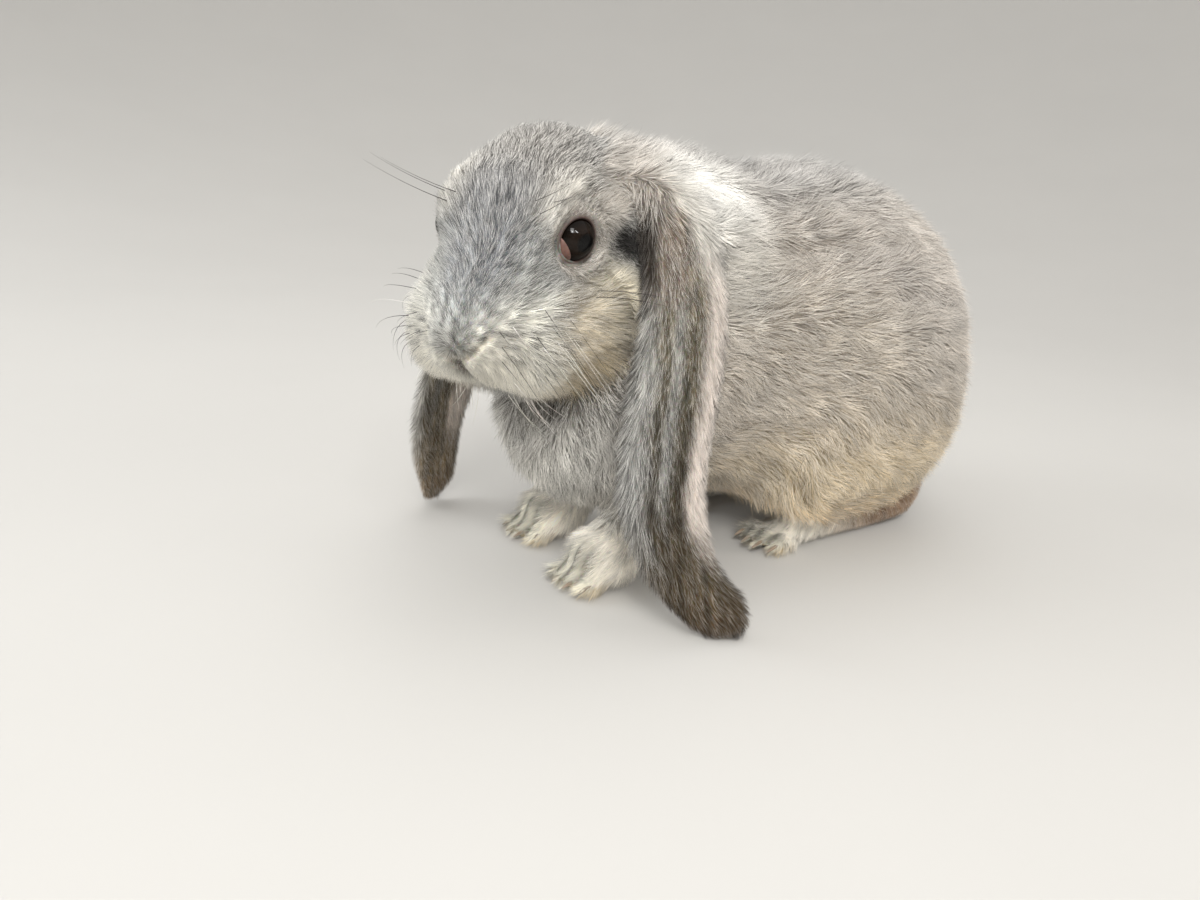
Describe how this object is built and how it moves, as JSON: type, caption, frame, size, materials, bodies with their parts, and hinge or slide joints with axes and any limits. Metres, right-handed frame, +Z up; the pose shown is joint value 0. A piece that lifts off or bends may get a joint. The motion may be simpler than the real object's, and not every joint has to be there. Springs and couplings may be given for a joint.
{
  "type": "lop rabbit",
  "caption": "Lop-eared rabbit resting on all four feet with its head turned to its left and long ears hanging to the floor, a still life-size animal model",
  "frame": {"origin": "on the floor, under the middle of the box round the whole rabbit", "axes": "the rabbit faces -X with its tail towards +X, its left side is -Y and its right side +Y, and +Z is up from the floor it rests on"},
  "size_m": [0.3106, 0.1832, 0.1867],
  "materials": {
    "fur_head": "soft matt fur",
    "fur_neck": "soft matt fur",
    "fur_trunk": "soft matt fur",
    "fur_ear": "soft matt fur",
    "fur_paw": "soft matt fur",
    "fur_tail": "soft matt fur",
    "eye": "wet gloss",
    "claw": "smooth horn"
  },
  "bodies": {
    "root": {"claw_forepaw_left_1": "claw", "claw_forepaw_left_2": "claw", "claw_forepaw_left_3": "claw", "claw_forepaw_left_4": "claw", "claw_forepaw_right_1": "claw", "claw_forepaw_right_2": "claw", "claw_forepaw_right_3": "claw", "claw_forepaw_right_4": "claw", "claw_hindfoot_left_1": "claw", "claw_hindfoot_left_2": "claw", "claw_hindfoot_left_3": "claw", "claw_hindfoot_left_4": "claw", "claw_hindfoot_right_1": "claw", "claw_hindfoot_right_2": "claw", "claw_hindfoot_right_3": "claw", "claw_hindfoot_right_4": "claw", "ear_left": "fur_ear", "ear_right": "fur_ear", "eye_left": "eye", "eye_right": "eye", "foreleg_left": "fur_trunk", "foreleg_right": "fur_trunk", "forepaw_left": "fur_paw", "forepaw_right": "fur_paw", "head": "fur_head", "hindfoot_left": "fur_paw", "hindfoot_right": "fur_paw", "neck": "fur_neck", "tail": "fur_tail", "thigh_left": "fur_trunk", "thigh_right": "fur_trunk", "trunk": "fur_trunk"}
  },
  "joints": []
}
